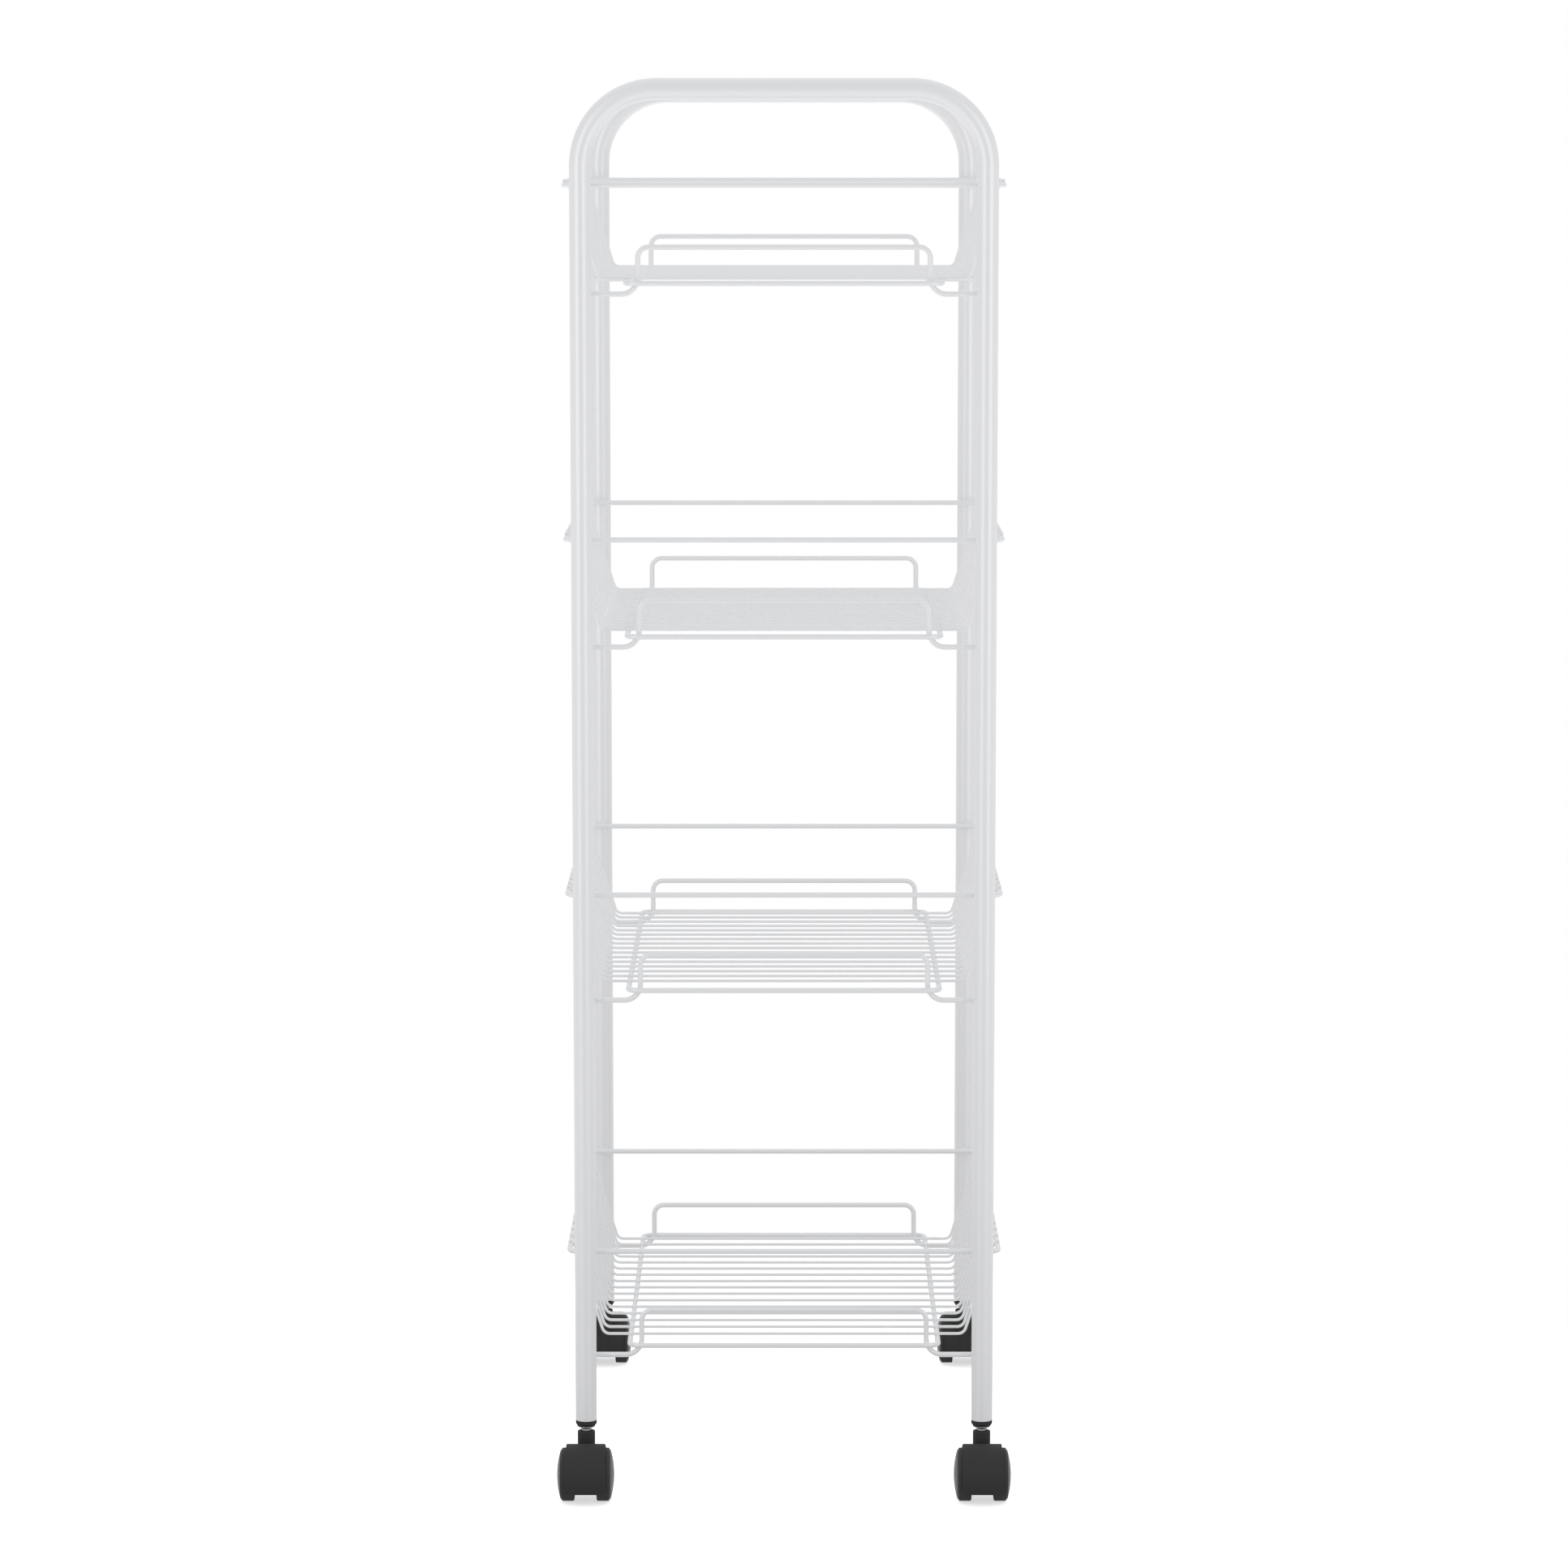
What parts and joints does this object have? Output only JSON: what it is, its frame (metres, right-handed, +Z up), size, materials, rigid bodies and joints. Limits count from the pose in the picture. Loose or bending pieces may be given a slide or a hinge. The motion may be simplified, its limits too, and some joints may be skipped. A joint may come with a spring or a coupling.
{
  "type": "wire shelving rack",
  "caption": "Narrow rolling rack with wire trays stacked between two tubular arches, on twin-wheel swivel casters.",
  "frame": {"origin": "on the floor, under the middle of the frame", "axes": "+Z up, +Y from the front arch to the rear arch, +X to the right seen from the front"},
  "size_m": [0.3432, 0.4736, 1.066],
  "materials": {
    "powder_coat": "gloss white powder coat",
    "plug_plastic": "satin black",
    "plated_steel": "bright plated",
    "hood_plastic": "fine matte black",
    "axle_steel": "drawn",
    "wheel_plastic": "satin dark grey",
    "disc_plastic": "gloss dark grey"
  },
  "bodies": {
    "frame": {"front_arch": "powder_coat", "rear_arch": "powder_coat", "tray_1_rim_ring": "powder_coat", "tray_1_base_ring": "powder_coat", "tray_1_floor_wires": "powder_coat", "tray_1_front_rail": "powder_coat", "tray_1_rear_rail": "powder_coat", "tray_2_rim_ring": "powder_coat", "tray_2_base_ring": "powder_coat", "tray_2_floor_wires": "powder_coat", "tray_2_front_rail": "powder_coat", "tray_2_rear_rail": "powder_coat", "tray_3_rim_ring": "powder_coat", "tray_3_base_ring": "powder_coat", "tray_3_floor_wires": "powder_coat", "tray_3_front_rail": "powder_coat", "tray_3_rear_rail": "powder_coat", "tray_4_rim_ring": "powder_coat", "tray_4_base_ring": "powder_coat", "tray_4_floor_wires": "powder_coat", "tray_4_front_rail": "powder_coat", "tray_4_rear_rail": "powder_coat", "front_left_plug": "plug_plastic", "front_left_stem": "plated_steel", "front_right_plug": "plug_plastic", "front_right_stem": "plated_steel", "rear_left_plug": "plug_plastic", "rear_left_stem": "plated_steel", "rear_right_plug": "plug_plastic", "rear_right_stem": "plated_steel"},
    "front_left_caster": {"front_left_hood": "hood_plastic", "front_left_axle": "axle_steel"},
    "front_left_left_wheel": {"front_left_left_wheel": "wheel_plastic", "front_left_left_disc": "disc_plastic"},
    "front_left_right_wheel": {"front_left_right_wheel": "wheel_plastic", "front_left_right_disc": "disc_plastic"},
    "front_right_caster": {"front_right_hood": "hood_plastic", "front_right_axle": "axle_steel"},
    "front_right_left_wheel": {"front_right_left_wheel": "wheel_plastic", "front_right_left_disc": "disc_plastic"},
    "front_right_right_wheel": {"front_right_right_wheel": "wheel_plastic", "front_right_right_disc": "disc_plastic"},
    "rear_left_caster": {"rear_left_hood": "hood_plastic", "rear_left_axle": "axle_steel"},
    "rear_left_left_wheel": {"rear_left_left_wheel": "wheel_plastic", "rear_left_left_disc": "disc_plastic"},
    "rear_left_right_wheel": {"rear_left_right_wheel": "wheel_plastic", "rear_left_right_disc": "disc_plastic"},
    "rear_right_caster": {"rear_right_hood": "hood_plastic", "rear_right_axle": "axle_steel"},
    "rear_right_left_wheel": {"rear_right_left_wheel": "wheel_plastic", "rear_right_left_disc": "disc_plastic"},
    "rear_right_right_wheel": {"rear_right_right_wheel": "wheel_plastic", "rear_right_right_disc": "disc_plastic"}
  },
  "joints": [
    {"name": "front_left_swivel", "type": "hinge", "parent": "frame", "child": "front_left_caster", "pos_m": [-0.15, -0.197, 0.045], "axis": [0, 0, 1], "continuous": true},
    {"name": "front_left_left_spin", "type": "hinge", "parent": "front_left_caster", "child": "front_left_left_wheel", "pos_m": [-0.163, -0.214, 0.02], "axis": [1, 0, 0], "continuous": true},
    {"name": "front_left_right_spin", "type": "hinge", "parent": "front_left_caster", "child": "front_left_right_wheel", "pos_m": [-0.137, -0.214, 0.02], "axis": [1, 0, 0], "continuous": true},
    {"name": "front_right_swivel", "type": "hinge", "parent": "frame", "child": "front_right_caster", "pos_m": [0.15, -0.197, 0.045], "axis": [0, 0, 1], "continuous": true},
    {"name": "front_right_left_spin", "type": "hinge", "parent": "front_right_caster", "child": "front_right_left_wheel", "pos_m": [0.137, -0.214, 0.02], "axis": [1, 0, 0], "continuous": true},
    {"name": "front_right_right_spin", "type": "hinge", "parent": "front_right_caster", "child": "front_right_right_wheel", "pos_m": [0.163, -0.214, 0.02], "axis": [1, 0, 0], "continuous": true},
    {"name": "rear_left_swivel", "type": "hinge", "parent": "frame", "child": "rear_left_caster", "pos_m": [-0.15, 0.197, 0.045], "axis": [0, 0, 1], "continuous": true},
    {"name": "rear_left_left_spin", "type": "hinge", "parent": "rear_left_caster", "child": "rear_left_left_wheel", "pos_m": [-0.163, 0.214, 0.02], "axis": [1, 0, 0], "continuous": true},
    {"name": "rear_left_right_spin", "type": "hinge", "parent": "rear_left_caster", "child": "rear_left_right_wheel", "pos_m": [-0.137, 0.214, 0.02], "axis": [1, 0, 0], "continuous": true},
    {"name": "rear_right_swivel", "type": "hinge", "parent": "frame", "child": "rear_right_caster", "pos_m": [0.15, 0.197, 0.045], "axis": [0, 0, 1], "continuous": true},
    {"name": "rear_right_left_spin", "type": "hinge", "parent": "rear_right_caster", "child": "rear_right_left_wheel", "pos_m": [0.137, 0.214, 0.02], "axis": [1, 0, 0], "continuous": true},
    {"name": "rear_right_right_spin", "type": "hinge", "parent": "rear_right_caster", "child": "rear_right_right_wheel", "pos_m": [0.163, 0.214, 0.02], "axis": [1, 0, 0], "continuous": true}
  ]
}
